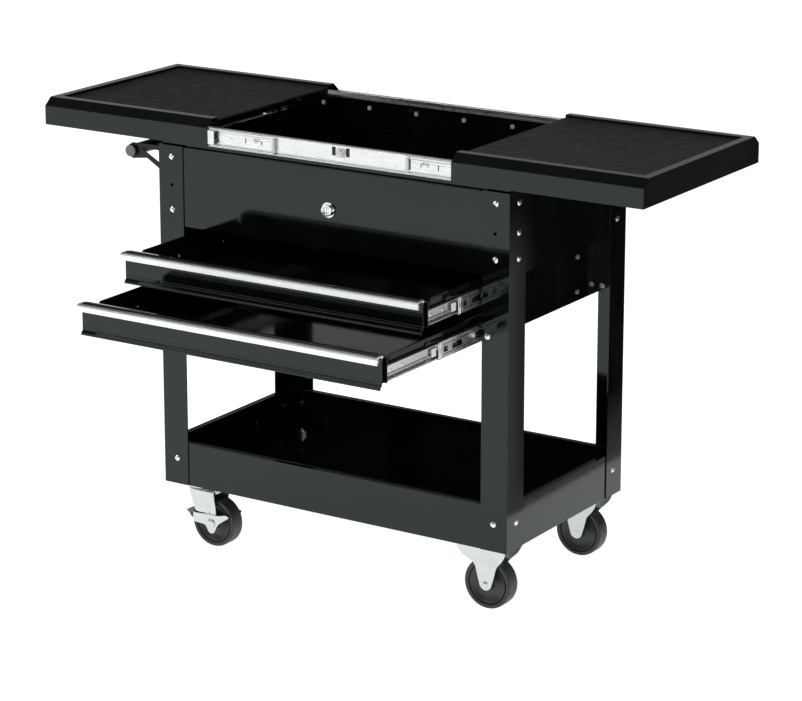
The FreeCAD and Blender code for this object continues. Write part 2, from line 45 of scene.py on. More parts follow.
# ---------------------------------------------------------------- materials
class Mat:
    """A small node-tree builder in object coordinates, so patterns have real sizes in metres."""

    def __init__(self, name):
        self.m = bpy.data.materials.new(name)
        self.m.use_nodes = True
        self.t = self.m.node_tree
        self.b = self.t.nodes["Principled BSDF"]
        self.coord = self.t.nodes.new("ShaderNodeTexCoord").outputs["Object"]

    def set(self, **values):
        for key, v in values.items():
            self.b.inputs[key.replace("_", " ")].default_value = v
        return self

    def node(self, kind, **inputs):
        n = self.t.nodes.new("ShaderNode" + kind)
        for key, v in inputs.items():
            n.inputs[key.replace("_", " ")].default_value = v
        return n

    def link(self, a, b):
        self.t.links.new(a, b)

    def noise(self, scale, detail=4.0, rough=0.55, stretch=(1, 1, 1)):
        mp = self.node("Mapping")
        mp.inputs["Scale"].default_value = stretch
        self.link(self.coord, mp.inputs["Vector"])
        n = self.node("TexNoise", Scale=scale, Detail=detail, Roughness=rough)
        self.link(mp.outputs[0], n.inputs["Vector"])
        return n.outputs["Fac"]

    def ramp(self, fac, lo, hi, a, b):
        r = self.node("MapRange")
        for key, v in (("From Min", lo), ("From Max", hi), ("To Min", a), ("To Max", b)):
            r.inputs[key].default_value = v
        self.link(fac, r.inputs["Value"])
        return r.outputs[0]

    def mix(self, fac, a, b):
        n = self.t.nodes.new("ShaderNodeMix")
        n.data_type = "RGBA"
        self.link(fac, n.inputs[0])
        for sock, v in ((n.inputs[6], a), (n.inputs[7], b)):
            if isinstance(v, tuple):
                sock.default_value = (*v, 1)
            else:
                self.link(v, sock)
        return n.outputs[2]

    def combine(self, operation, a, b):
        n = self.node("Math")
        n.operation = operation
        self.link(a, n.inputs[0])
        self.link(b, n.inputs[1])
        return n.outputs[0]

    def to(self, socket, out):
        self.link(out, self.b.inputs[socket])
        return self

    def bump(self, height, strength, distance):
        n = self.node("Bump", Strength=strength, Distance=distance)
        self.link(height, n.inputs["Height"])
        if self.b.inputs["Normal"].is_linked:
            self.link(self.b.inputs["Normal"].links[0].from_socket, n.inputs["Normal"])
        self.link(n.outputs[0], self.b.inputs["Normal"])
        return self


# tint of the enamel's reflections, and the pitch of the ribs in the rubber mats
COOL = (0.76, 1.0, 0.93, 1)
RIB_PITCH = 0.0028


def gloss_enamel():
    m = Mat("black_enamel").set(Coat_Weight=0.06, Coat_Roughness=0.06, IOR=1.5, Specular_IOR_Level=0.36)
    dust = m.ramp(m.noise(9, 6, 0.6), 0.45, 0.75, 0.0, 1.0)
    m.to("Base Color", m.mix(dust, (0.0022, 0.0027, 0.0026), (0.0048, 0.0055, 0.0053)))
    m.to("Roughness", m.ramp(m.noise(35, 5), 0.3, 0.7, 0.055, 0.095))
    m.bump(m.noise(60, 3, 0.5), 0.05, 0.0004)
    m.bump(m.noise(420, 2, 0.4), 0.03, 0.0002)
    m.set(Specular_Tint=COOL)
    return m.m


def satin_enamel():
    m = Mat("black_satin_tube").set(Coat_Weight=0.05, Coat_Roughness=0.2, Specular_IOR_Level=0.28)
    m.to("Base Color", m.mix(m.noise(60, 5), (0.0022, 0.0026, 0.0026), (0.0046, 0.0052, 0.0050)))
    m.to("Roughness", m.ramp(m.noise(90, 4), 0.3, 0.7, 0.28, 0.4))
    m.bump(m.noise(700, 2), 0.15, 0.0003)
    return m.m


def metal(name, low, high, r0, r1, stretch, grain, strength=0.05):
    m = Mat(name).set(Metallic=1.0)
    m.to("Base Color", m.mix(m.noise(26, 6, 0.65), low, high))
    m.to("Roughness", m.ramp(m.noise(grain, 4, 0.6, stretch), 0.3, 0.7, r0, r1))
    m.bump(m.noise(grain * 1.7, 3, 0.6, stretch), strength, 0.00025)
    return m.m


def rubber_mat():
    m = Mat("ribbed_rubber").set(Specular_IOR_Level=0.22)
    w = m.node("TexWave", Scale=2 * math.pi / 20 / RIB_PITCH, Distortion=0.25, Detail=1.0, Detail_Scale=3.0)
    w.bands_direction = "Y"
    m.link(m.coord, w.inputs["Vector"])
    worn = m.ramp(m.noise(5, 6, 0.62, (1.0, 2.6, 1.0)), 0.35, 0.7, 0.0, 1.0)
    m.to("Base Color", m.mix(worn, (0.0070, 0.0098, 0.0090), (0.0150, 0.0190, 0.0180)))
    m.to("Roughness", m.ramp(m.noise(50, 5), 0.3, 0.7, 0.5, 0.68))
    m.bump(w.outputs["Fac"], 0.5, 0.0006)
    m.bump(m.noise(900, 3, 0.6), 0.35, 0.0004)
    return m.m


def moulded(name, low, high, r0, r1, grain=500):
    m = Mat(name)
    m.to("Base Color", m.mix(m.noise(40, 5), low, high))
    m.to("Roughness", m.ramp(m.noise(70, 4), 0.3, 0.7, r0, r1))
    m.bump(m.noise(grain, 3, 0.55), 0.25, 0.0003)
    return m.m


ENAMEL = gloss_enamel()
SATIN = satin_enamel()
ZINC = metal("bright_zinc", (0.50, 0.535, 0.52), (0.64, 0.672, 0.656), 0.20, 0.32, (1, 1, 1), 160)
RAILZINC = metal("rolled_zinc", (0.66, 0.685, 0.68), (0.76, 0.785, 0.775), 0.20, 0.34, (0.06, 1, 1), 500)
BOLT = metal("plated_bolt", (0.70, 0.71, 0.72), (0.86, 0.86, 0.85), 0.16, 0.28, (1, 1, 1), 400)
SCREW = metal("screw_head", (0.90, 0.92, 0.91), (0.96, 0.97, 0.96), 0.42, 0.55, (1, 1, 1), 300)
ALU = metal("brushed_aluminium", (0.80, 0.82, 0.815), (0.90, 0.91, 0.905), 0.26, 0.40, (0.015, 1, 1), 900)
CHROME = metal("chrome_plate", (0.72, 0.73, 0.74), (0.82, 0.82, 0.82), 0.08, 0.16, (1, 1, 1), 300, 0.08)
MAT = rubber_mat()
WHEEL = moulded("wheel_rubber", (0.012, 0.0165, 0.0150), (0.023, 0.030, 0.0275), 0.38, 0.55, 300)
HUB = moulded("wheel_hub_plastic", (0.011, 0.0155, 0.0140), (0.019, 0.025, 0.0230), 0.30, 0.45)
CAP = moulded("grey_end_cap", (0.115, 0.122, 0.122), (0.155, 0.162, 0.162), 0.4, 0.55)
CLIP = moulded("black_clip", (0.010, 0.010, 0.011), (0.018, 0.018, 0.019), 0.35, 0.5)
NYLON = moulded("pale_nylon", (0.70, 0.71, 0.69), (0.80, 0.80, 0.78), 0.3, 0.45)


# ---------------------------------------------------------------- mesh tools
TURN = {"X": Matrix.Rotation(math.radians(-90), 3, "Z"), "Y": Matrix.Identity(3),
        "Z": Matrix.Rotation(math.radians(90), 3, "X")}


def add_edge(o, width, segments, angle):
    """Small rolled edge along the corners that are sharper than an angle in degrees."""
    edge = o.modifiers.new("edge", "BEVEL")
    edge.width = width
    edge.segments = segments
    edge.limit_method = "ANGLE"
    edge.angle_limit = math.radians(angle)
    return edge


def add_object(name, bm, material):
    """Turns a finished bmesh into a smooth-shaded object of the scene."""
    bmesh.ops.recalc_face_normals(bm, faces=bm.faces)
    mesh = bpy.data.meshes.new(name)
    bm.to_mesh(mesh)
    bm.free()
    mesh.materials.append(material)
    for p in mesh.polygons:
        p.use_smooth = True
    o = bpy.data.objects.new(name, mesh)
    bpy.context.scene.collection.objects.link(o)
    return o


def finish_piece(name, bm, material, body, bevel=0.0, smooth=40):
    """Solid piece: edges sharper than smooth degrees stay crisp."""
    o = add_object(name, bm, material)
    if bevel:
        add_edge(o, bevel, 2, 30)
    o.data.set_sharp_from_angle(angle=math.radians(smooth))
    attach(o, body)
    return o


def sheet_piece(name, bm, material, body, gauge, offset=-1.0):
    """Pressed sheet: the grid is given its gauge, a small rolled edge and one smoothing step."""
    bmesh.ops.remove_doubles(bm, verts=bm.verts, dist=0.00005)
    o = add_object(name, bm, material)
    sheet = o.modifiers.new("gauge", "SOLIDIFY")
    sheet.thickness = gauge
    sheet.offset = offset
    sheet.use_even_offset = True
    add_edge(o, 0.0005, 2, 50)
    smoothing = o.modifiers.new("round", "SUBSURF")
    smoothing.levels = smoothing.render_levels = 1
    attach(o, body)
    return o


def in_metres(points):
    return [(a * MM, b * MM) for a, b in points]


def between(table, at):
    """Straight-line value at a place from (place, value) pairs in falling order of place."""
    if at >= table[0][0]:
        return table[0][1]
    for (high, a), (low, b) in zip(table, table[1:]):
        if at >= low:
            return b + (a - b) * (at - low) / (high - low)
    return table[-1][1]


def add_box(bm, corner, opposite):
    x0, y0, z0 = (min(a, b) for a, b in zip(corner, opposite))
    x1, y1, z1 = (max(a, b) for a, b in zip(corner, opposite))
    v = [bm.verts.new((x, y, z)) for x in (x0, x1) for y in (y0, y1) for z in (z0, z1)]
    for f in ((0, 1, 3, 2), (4, 6, 7, 5), (0, 4, 5, 1), (2, 3, 7, 6), (0, 2, 6, 4), (1, 5, 7, 3)):
        bm.faces.new([v[i] for i in f])


def add_grid(bm, rows):
    """Quads between equal rows of points."""
    grid = [[bm.verts.new(p) for p in row] for row in rows]
    for a, b in zip(grid, grid[1:]):
        for k in range(len(a) - 1):
            bm.faces.new((a[k], a[k + 1], b[k + 1], b[k]))


def add_prism(bm, start, end):
    """Closed outline joined to the same outline further along, with both ends filled."""
    a, b = ([bm.verts.new(p) for p in outline] for outline in (start, end))
    n = len(a)
    for i in range(n):
        k = (i + 1) % n
        bm.faces.new((a[i], a[k], b[k], b[i]))
    bm.faces.new(list(reversed(a)))
    bm.faces.new(b)


def add_nut(bm, centre, r, h):
    """Hexagon nut standing on a level face."""
    corners = [(r * math.cos(math.pi * k / 3), r * math.sin(math.pi * k / 3)) for k in range(6)]
    add_prism(bm, *([Vector(centre) + Vector((x, y, z)) for x, y in corners] for z in (0, h)))


def lathe_rings(bm, profile, centre, axis, n):
    """Copies of a (radius, along) profile at n equal steps about an axis through centre."""
    c, turn = Vector(centre), TURN[axis]
    rings = []
    for i in range(n):
        a = 2 * math.pi * i / n
        rings.append([bm.verts.new(c + turn @ Vector((r * math.cos(a), y, r * math.sin(a))))
                      for r, y in profile])
    return rings


def add_lathe(bm, profile, centre, axis, n):
    """Turned ring with a closed profile of (radius, along)."""
    rings = lathe_rings(bm, profile, centre, axis, n)
    for a, b in zip(rings, rings[1:] + rings[:1]):
        for j in range(len(profile)):
            k = (j + 1) % len(profile)
            bm.faces.new((a[j], a[k], b[k], b[j]))


def add_cap_lathe(bm, profile, centre, axis, n):
    """Turned solid with an open profile from axis to axis: its first and last radius are 0."""
    first, last = (bm.verts.new(Vector(centre) + TURN[axis] @ Vector((0, y, 0)))
                   for y in (profile[0][1], profile[-1][1]))
    rings = lathe_rings(bm, profile[1:-1], centre, axis, n)
    for a, b in zip(rings, rings[1:] + rings[:1]):
        bm.faces.new((first, a[0], b[0]))
        bm.faces.new((last, b[-1], a[-1]))
        for j in range(len(a) - 1):
            bm.faces.new((a[j], a[j + 1], b[j + 1], b[j]))


def add_dome(bm, centre, r, h, axis, way):
    """Low domed head standing on a face."""
    outer = [(0, h), (0.38 * r, 0.94 * h), (0.72 * r, 0.70 * h), (0.93 * r, 0.34 * h), (r, 0),
             (0.6 * r, -0.1 * h), (0, -0.1 * h)]
    add_cap_lathe(bm, [(a, way * b) for a, b in outer], centre, axis, 24)


def add_tube(bm, path, r, n, closed=False):
    """Round bead along a path of points, mitred at the corners."""
    pts = [Vector(p) for p in path]
    m = len(pts)
    rings = []
    for i, p in enumerate(pts):
        before = pts[(i - 1) % m] if (closed or i) else None
        after = pts[(i + 1) % m] if (closed or i < m - 1) else None
        d_in = (p - before).normalized() if before is not None else (after - p).normalized()
        d_out = (after - p).normalized() if after is not None else d_in
        t = (d_in + d_out).normalized()
        side = t.cross(Vector((0, 0, 1))).normalized()
        up = side.cross(t).normalized()
        widen = 1.0 / max(0.4, t.dot(d_in))
        rings.append([bm.verts.new(p + side * (r * widen * math.cos(a)) + up * (r * math.sin(a)))
                      for a in (2 * math.pi * k / n for k in range(n))])
    for a, b in zip(rings, rings[1:] + (rings[:1] if closed else [])):
        for k in range(n):
            bm.faces.new((a[k], a[(k + 1) % n], b[(k + 1) % n], b[k]))
    if not closed:
        bm.faces.new(rings[0])
        bm.faces.new(list(reversed(rings[-1])))


def x_bead(bm, half, y, z, r, n=10):
    """Straight bead along X, as long on both sides of the middle."""
    add_tube(bm, [(-half, y, z), (half, y, z)], r, n)


# ---------------------------------------------------------------- painted steel and rails
def paint(node, material, bevel=0.0, segments=2):
    """Gives a CAD node its material and, where asked, a small rolled edge that catches the light."""
    o = NODES[node]
    for s in o.material_slots:
        s.material = material
    if bevel:
        add_edge(o, bevel, segments, 35).harden_normals = True
        o.data.polygons.foreach_set("use_smooth", [False] * len(o.data.polygons))


for n in ("post_front_left", "post_front_right", "post_rear_left", "post_rear_right"):
    paint(n, ENAMEL, 0.0009)
for n in ("front_panel", "rear_panel", "side_panel_left", "side_panel_right", "well_floor",
          "bay_plate_left", "bay_plate_right", "upstand_front", "upstand_rear", "bottom_tray"):
    paint(n, ENAMEL, 0.0004)
for n in ("lid_left", "lid_right", "drawer_upper", "drawer_lower"):
    paint(n, ENAMEL, 0.0005)
for n in ("handle_tube", "handle_brackets"):
    paint(n, SATIN, 0.0005)
for n in NODES:
    if "rail_" in n or "rails_" in n or "members" in n:
        paint(n, RAILZINC, 0.0003)
for n in ("pull_upper", "pull_lower"):
    paint(n, ALU, 0.0006)
paint("post_bolts", BOLT)
paint("slide_screws", SCREW)
for n in ("lock_housing", "lock_plug"):
    paint(n, CHROME, 0.0004)
paint("rail_bumpers", NYLON, 0.0008)
paint("handle_end_caps", CAP, 0.0012, 3)
for n in ("mat_left", "mat_right"):
    paint(n, MAT, 0.0006)
for end, sy in ENDS:
    for n in ("rigid_caster_", "swivel_plate_", "swivel_fork_", "brake_pedal_"):
        paint(n + end, ZINC, 0.0006)
    for side in ("left", "right"):
        paint("wheel_%s_%s" % (end, side), WHEEL)

# ---------------------------------------------------------------- casters
AXLE_Y, WHEEL_R = 0.167, 0.048
RIGID_X, SWIVEL_X, TRAIL_X = 0.323, -0.323, -0.290
FORK_OUT, GAUGE = 0.0205, 0.0025
PLATE_TOP = 0.1255
# rigid caster's plate, from the axle and the floor
PLATE_LOW, PLATE_HIGH = (-0.058, -0.033, 0.1212), (0.048, 0.033, 0.1238)

# outer halves of the wheel sections, (radius, outward) in mm
TYRE_HALF = [(37.9, 10.6), (39.0, 10.9), (39.8, 14.2), (41.0, 15.2), (45.0, 15.6), (46.9, 14.7),
             (47.8, 12.6), (48.0, 9.5), (48.0, 0.7), (47.5, 0.3)]
DISC_HALF = [(4.15, 17.4), (8.6, 17.5), (10.4, 17.1), (11.2, 15.8), (11.6, 13.2), (13.6, 9.6),
             (15.4, 8.9), (19.0, 8.6), (26.0, 9.3), (31.5, 11.0), (34.6, 12.9), (36.0, 13.6),
             (37.0, 13.3), (37.6, 12.0), (37.9, 10.4)]


def wheel_section(half):
    return [(r * MM, -a * MM) for r, a in half] + [(r * MM, a * MM) for r, a in reversed(half)]


def wheel_pieces(end, side, x, yc):
    """Rubber tyre, which stands in for the CAD wheel, and the moulded disc inside it."""
    node = "wheel_%s_%s" % (end, side)
    bm = bmesh.new()
    add_lathe(bm, wheel_section(TYRE_HALF), (x, yc, WHEEL_R), "Y", 96)
    tyre = finish_piece(node + "_tyre", bm, WHEEL, node, smooth=38)
    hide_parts(node)
    bm = bmesh.new()
    add_lathe(bm, wheel_section(DISC_HALF), (x, yc, WHEEL_R), "Y", 96)
    finish_piece(node + "_disc", bm, HUB, node, smooth=38)


def axle_rivet(name, x, yc, body, reach, wide=1.0):
    """Axle rivet: a domed head at each end of a plain pin; wide spreads the head into a flat boss."""
    bm = bmesh.new()
    head = [(r * wide * MM, -reach - h * MM / wide)
            for r, h in ((0, 2.9), (2.6, 2.6), (4.6, 1.8), (5.8, 0.6), (6.0, 0), (4.0, 0))]
    add_cap_lathe(bm, head + [(r, -a) for r, a in reversed(head)], (x, yc, WHEEL_R), "Y", 40)
    finish_piece(name, bm, ZINC, body, smooth=50)


# rigid bracket in mm: left edge, right edge and outward lean of the cheek, each by height
CHEEK_Z = [123.0, 118, 113, 108, 103, 98, 94, 90, 86, 82, 77, 70, 62, 55, 49, 44, 40.5, 38.0, 36.9]
CHEEK_LEFT = [(121, -55), (113, -52.5), (104, -46), (98, -40), (93, -32), (88, -26), (82, -22.5),
              (72, -19.5), (60, -16.5), (49, -13), (44, -11.8), (40.5, -9.2), (38, -5.6), (36.9, -2.0)]
CHEEK_RIGHT = [(121, 46.5), (112, 45.5), (104, 41.5), (98, 36.5), (93, 31.5), (88, 26.5), (82, 22),
               (72, 19.5), (60, 16.5), (49, 13), (44, 11.8), (40.5, 9.2), (38, 5.6), (36.9, 2.0)]
CHEEK_OUT = [(122, 32.4), (112, 31.2), (104, 29.4), (98, 27.2), (92, 24.2), (87, 21.9), (82, 20.8),
             (77, 20.5)]
CHEEK_COLS = 12
PLATE_BOLT_X, PLATE_BOLT_Y = (-46, 36), (-24, 24)
BOLT_HEAD = [(0, 3.6), (3.4, 3.4), (4.8, 2.4), (5.2, 0.9), (5.2, 0), (3.0, -0.2), (0, -0.2)]


def rigid_caster(end, yc):
    bm = bmesh.new()
    add_box(bm, *((RIGID_X + x, yc + y, z) for x, y, z in (PLATE_LOW, PLATE_HIGH)))
    plate = finish_piece("rigid_plate_" + end, bm, ZINC, "chest_frame", bevel=0.0009)
    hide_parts("rigid_caster_" + end)
    for s, tag in ((-1, "outer"), (1, "inner")):
        rows = []
        for z in CHEEK_Z:
            left, right = between(CHEEK_LEFT, z), between(CHEEK_RIGHT, z)
            y = yc + s * between(CHEEK_OUT, z) * MM
            rows.append([(RIGID_X + (left + (right - left) * k / CHEEK_COLS) * MM, y, z * MM)
                         for k in range(CHEEK_COLS + 1)])
        bm = bmesh.new()
        add_grid(bm, rows)
        sheet_piece("rigid_cheek_%s_%s" % (end, tag), bm, ZINC, "chest_frame", GAUGE, offset=float(s))
    axle_rivet("rigid_axle_" + end, RIGID_X, yc, "chest_frame", FORK_OUT)
    bm = bmesh.new()
    for x in PLATE_BOLT_X:
        for y in PLATE_BOLT_Y:
            add_cap_lathe(bm, in_metres(BOLT_HEAD), (RIGID_X + x * MM, yc + y * MM, PLATE_TOP), "Z", 20)
    finish_piece("rigid_plate_bolts_" + end, bm, BOLT, "chest_frame", smooth=35)


for end, sy in ENDS:
    wheel_pieces(end, "right", RIGID_X, sy * AXLE_Y)
    wheel_pieces(end, "left", TRAIL_X, sy * AXLE_Y)
    rigid_caster(end, sy * AXLE_Y)

# ---------------------------------------------------------------- swivel forks
# in mm from the axle: where the legs end, half width and nose of the fork by height
FORK_END = 9.5
FORK_HALF = [(114, 28.7), (108, 28.3), (100, 26.6), (92, 24.0), (84, 21.8), (76, 20.6), (66, 20.5)]
FORK_NOSE = [(114, -61.7), (104, -60.4), (94, -58.2), (84, -55.6), (74, -53.0), (66, -50.8)]
FORK_Z = [108.0, 102, 96, 90, 84, 78, 72, 66.0]
NOSE_COLS, LEG_COLS, CROWN_COLS = 20, 8, 6
# rounded crown: (inset, height), drawn in from the outline at CROWN_Z; behind CROWN_X also from the nose
CROWN_Z, CROWN_X, CROWN_BLEND = 114, -20, 20
CROWN = ((7.0, 115.2), (3.6, 114.9), (1.4, 114.0), (0.2, 112.4))
# tapering legs below the shell
LEG_LEFT = [(66, -18), (60, -15), (52, -12), (45, -10.5), (38, -8.6), (33, -6.2), (29.5, -3.4), (28, -1.2)]
LEG_RIGHT = [(66, 9.5), (52, 10.2), (45, 10.0), (38, 8.6), (33, 6.4), (29.5, 3.6), (28, 1.4)]
LEG_Z = [66.0, 60, 52, 45, 41, 37, 33.5, 31, 29.4, 28.4]
# lip across the open side of the crown, (from the axle, height), and its columns
LIP = ((4.0, 115.0), (8.6, 114.8), (10.0, 113.4), (10.2, 110.0), (10.0, 106.5))
LIP_Y = (-20, -14, -7, 0, 7, 14, 20)
RACE_RING = [(21.5, 0), (28.4, 0), (29.0, 0.5), (29.0, 1.6), (28.2, 2.2), (21.5, 2.2)]
RACE_Z = 0.1163


def fork_path(z):
    """Plan outline of the pressed fork at a height: leg, round nose, leg, as (x from the axle, y) in mm."""
    half = between(FORK_HALF, z)
    bend = between(FORK_NOSE, z) + half
    straight = [FORK_END + (bend - FORK_END) * k / LEG_COLS for k in range(LEG_COLS)]
    turn = [-math.pi / 2 - math.pi * k / NOSE_COLS for k in range(NOSE_COLS + 1)]
    nose = [(bend + half * math.cos(a), half * math.sin(a)) for a in turn]
    return [(x, -half) for x in straight] + nose + [(x, half) for x in reversed(straight)]


def crown_row(yc, inset, z):
    narrow = 1 - inset / between(FORK_HALF, CROWN_Z)
    row = []
    for x, y in fork_path(CROWN_Z):
        back = inset * min(1, max(0, (CROWN_X - x) / CROWN_BLEND))
        row.append((TRAIL_X + (x + back) * MM, yc + y * narrow * MM, z * MM))
    return row


def fork_shell(end, yc):
    """Pressed fork: wrapped nose, closed top and two tapering legs."""
    bm = bmesh.new()
    rows = [crown_row(yc, inset, z) for inset, z in CROWN]
    for z in FORK_Z:
        rows.append([(TRAIL_X + x * MM, yc + y * MM, z * MM) for x, y in fork_path(z)])
    add_grid(bm, rows)
    top = [Vector(p) for p in rows[0]]
    count = len(top)
    cap = [[top[k].lerp(top[count - 1 - k], i / CROWN_COLS) for i in range(CROWN_COLS + 1)]
           for k in range(count // 2 + 1)]
    add_grid(bm, cap)
    for s in (-1, 1):
        leg = []
        for z in LEG_Z:
            right, left = between(LEG_RIGHT, z), between(LEG_LEFT, z)
            leg.append([(TRAIL_X + (right + (left - right) * k / LEG_COLS) * MM, yc + s * FORK_OUT, z * MM)
                        for k in range(LEG_COLS + 1)])
        add_grid(bm, leg)
    fork = sheet_piece("swivel_fork_shell_" + end, bm, ZINC, "swivel_" + end, GAUGE)
    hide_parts("swivel_fork_" + end)


def fork_fittings(end, yc):
    """Turned-down lip of the crown, race ring, axle and the pressed dimples of the cheeks."""
    body = "swivel_" + end
    bm = bmesh.new()
    add_grid(bm, [[(TRAIL_X + x * MM, yc + y * MM, z * MM) for y in LIP_Y] for x, z in LIP])
    sheet_piece("swivel_fork_lip_" + end, bm, ZINC, body, 0.0018)
    bm = bmesh.new()
    add_lathe(bm, in_metres(RACE_RING), (SWIVEL_X, yc, RACE_Z), "Z", 64)
    finish_piece("swivel_race_ring_" + end, bm, ZINC, "chest_frame", smooth=35)
    axle_rivet("swivel_axle_" + end, TRAIL_X, yc, body, FORK_OUT + 0.0030, 1.5)
    bm = bmesh.new()
    for s in (-1, 1):
        for z, r in ((68.0, 1.5), (61.5, 1.9)):
            dimple = [(0, s * 1.1), (0.6 * r, s * 0.9), (r, s * 0.2), (r, -s * 0.5), (0, -s * 0.5)]
            add_cap_lathe(bm, in_metres(dimple), (TRAIL_X - 0.006, yc + s * FORK_OUT, z * MM), "Y", 16)
    finish_piece("swivel_fork_dimples_" + end, bm, ZINC, body, smooth=50)


# ---------------------------------------------------------------- brake pedals
# in mm from the axle: upper and lower edge of the winged cheeks, then the columns between them
PEDAL_TOP = [(40, 68.5), (34, 70.5), (27, 68.6), (20, 66.6), (11, 65.4), (0, 65.4), (-11, 65.0),
             (-24, 64.4), (-38, 63.8), (-54, 63.0)]
PEDAL_LOW = [(40, 64.5), (34, 60.5), (27, 55.8), (20, 51.0), (15, 46.6), (12, 41.5), (9.5, 35.0),
             (6, 29.8), (3, 28.0), (0, 27.4), (-3, 28.0), (-6, 29.8), (-9.5, 35.0), (-12, 40.6),
             (-15, 43.4), (-24, 44.4), (-38, 44.8), (-54, 45.4)]
PEDAL_X = [40, 37, 33, 27, 20, 16, 13, 11, 8.5, 6, 3, 0, -3, -6, -8.5, -11, -13, -16, -20, -27, -34]
PEDAL_OUT = 22.684
PEDAL_ROWS, BAND_COLS = 6, 14
# band round the nose of the fork: bend centre and reach
BAND_X, BAND_REACH = -34, 20.2
# curled tread: (from the axle, height, half width), and how far its ends sweep back
TREAD = ((-52.8, 48.0, 13.0), (-55.0, 52.5, 15.5), (-57.2, 57.5, 16.8), (-60.0, 61.0, 16.8),
         (-64.0, 62.4, 15.8), (-68.5, 61.0, 13.6), (-72.6, 57.0, 10.0))
TREAD_COLS, TREAD_SWEEP = 8, 2.0


def pedal_column(x, y, yc):
    """Points from the lower to the upper edge of the pedal's sheet at one place."""
    low, top = between(PEDAL_LOW, x), between(PEDAL_TOP, x)
    return [(TRAIL_X + x * MM, yc + y * MM, (low + (top - low) * k / PEDAL_ROWS) * MM)
            for k in range(PEDAL_ROWS + 1)]


def brake_pedal(end, yc):
    """Two winged cheeks joined round the fork's nose, with a curled tread."""
    bm = bmesh.new()
    for s in (-1, 1):
        add_grid(bm, [pedal_column(x, s * PEDAL_OUT, yc) for x in PEDAL_X])
    turn = [-math.pi / 2 - math.pi * k / BAND_COLS for k in range(BAND_COLS + 1)]
    add_grid(bm, [pedal_column(BAND_X + BAND_REACH * math.cos(a), PEDAL_OUT * math.sin(a), yc)
                  for a in turn])
    pedal = sheet_piece("brake_pedal_shell_" + end, bm, ZINC, "pedal_" + end, 0.0016)
    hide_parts("brake_pedal_" + end)
    across = [2 * i / TREAD_COLS - 1 for i in range(TREAD_COLS + 1)]
    bm = bmesh.new()
    add_grid(bm, [[(TRAIL_X + (x + TREAD_SWEEP * u ** 2) * MM, yc + u * half * MM, z * MM)
                   for u in across] for x, z, half in TREAD])
    sheet_piece("brake_tread_" + end, bm, SCREW, "pedal_" + end, 0.0020)


for end, sy in ENDS:
    fork_shell(end, sy * AXLE_Y)
    fork_fittings(end, sy * AXLE_Y)
    brake_pedal(end, sy * AXLE_Y)

# ---------------------------------------------------------------- drawers
BAY_IN = 0.3245
DRAWER_HX, FRONT_HX = 0.3118, 0.320
FACE_Y, DRAWER_BACK, SLIDE_Y = -0.211, 0.185, -0.190
FRONT_H, WALL_H, SLIDE_H = 0.057, 0.053, 0.0255
SHEET, FOLD, CORNER = 0.0015, 0.018, 0.040
HEM_R = 0.0013
# bottom of each drawer, and how far it stands out
DRAWERS = {"upper": (0.567, 0.185), "lower": (0.500, 0.313)}

# sections and outlines in mm: arch over the fold as (back from the face, up), end roll of the pull as
# (radius, outward), release lever as (back from the slide's mouth, up)
ARCH = [(-8.6, 1.2), (-7.8, 2.9), (-5.6, 4.0), (-1.0, 4.3), (8.0, 3.4), (14.0, 1.2), (17.2, -2.4),
        (18.8, -7.0), (18.1, -7.2), (16.4, -3.0), (13.2, 0.0), (7.8, 2.2), (-1.0, 3.1), (-5.4, 2.8),
        (-7.4, 2.8), (-8.0, 1.2)]
END_ROLL = [(2.0, -1.0), (4.6, -1.0), (5.3, 0), (5.0, 1.2), (2.4, 1.2)]
LEVER = [(-30, 15.0), (-30, 17.8), (-26, 20.6), (-19, 21.2), (-15, 18.4), (12, 17.6), (16, 16.4),
         (12, 15.0)]
ARCH_INSET = 0.007


def drawer_front(name, z0, front):
    """Black arch over the fold behind the pull, and the dark roll at each end of the pull."""
    body, top = "drawer_" + name, z0 + FRONT_H
    bm = bmesh.new()
    arch_x = FRONT_HX - ARCH_INSET
    add_prism(bm, *([(x, front + a * MM, top + b * MM) for a, b in ARCH] for x in (-arch_x, arch_x)))
    finish_piece("front_arch_" + name, bm, ENAMEL, body, smooth=45)
    bm = bmesh.new()
    for s in (-1, 1):
        roll = in_metres([(r, s * a) for r, a in END_ROLL])
        add_lathe(bm, roll, (s * FRONT_HX, front - 0.0035, top - 0.0045), "X", 28)
    finish_piece("pull_end_rolls_" + name, bm, CLIP, body, smooth=40)


def drawer_hems(name, z0, out):
    """Rolled hems of the walls and slanted corners, the kicked lip and the beads on the face."""
    front, back = FACE_Y - out, DRAWER_BACK - out
    wall_z = z0 + WALL_H
    fold_y, corner_y = front + SHEET + FOLD, front + SHEET + CORNER
    bm = bmesh.new()
    for s in (-1, 1):
        x = s * (DRAWER_HX - 0.0009)
        add_tube(bm, [(x, fold_y, z0 + 0.027), (x, corner_y, wall_z), (x, back - 0.001, wall_z)], HEM_R, 10)
    x_bead(bm, DRAWER_HX - 0.002, back - 0.0009, wall_z, HEM_R)
    x_bead(bm, FRONT_HX - 0.001, front - 0.0042, z0 + 0.0014, 0.0012)
    for up, r in ((0.0135, 0.0007), (0.0092, 0.0009)):
        x_bead(bm, FRONT_HX - 0.001, front, z0 + up, r)
    finish_piece("drawer_hems_" + name, bm, ENAMEL, "drawer_" + name, smooth=60)


def drawer_rivets(name, z0, front):
    """Rivet heads inside each side wall."""
    bm = bmesh.new()
    for s in (-1, 1):
        for dy in (0.042, 0.150, 0.290):
            add_dome(bm, (s * (DRAWER_HX - SHEET), front + dy, z0 + 0.0180), 0.0034, 0.0016, "X", -s)
    finish_piece("drawer_rivets_" + name, bm, BOLT, "drawer_" + name, smooth=50)


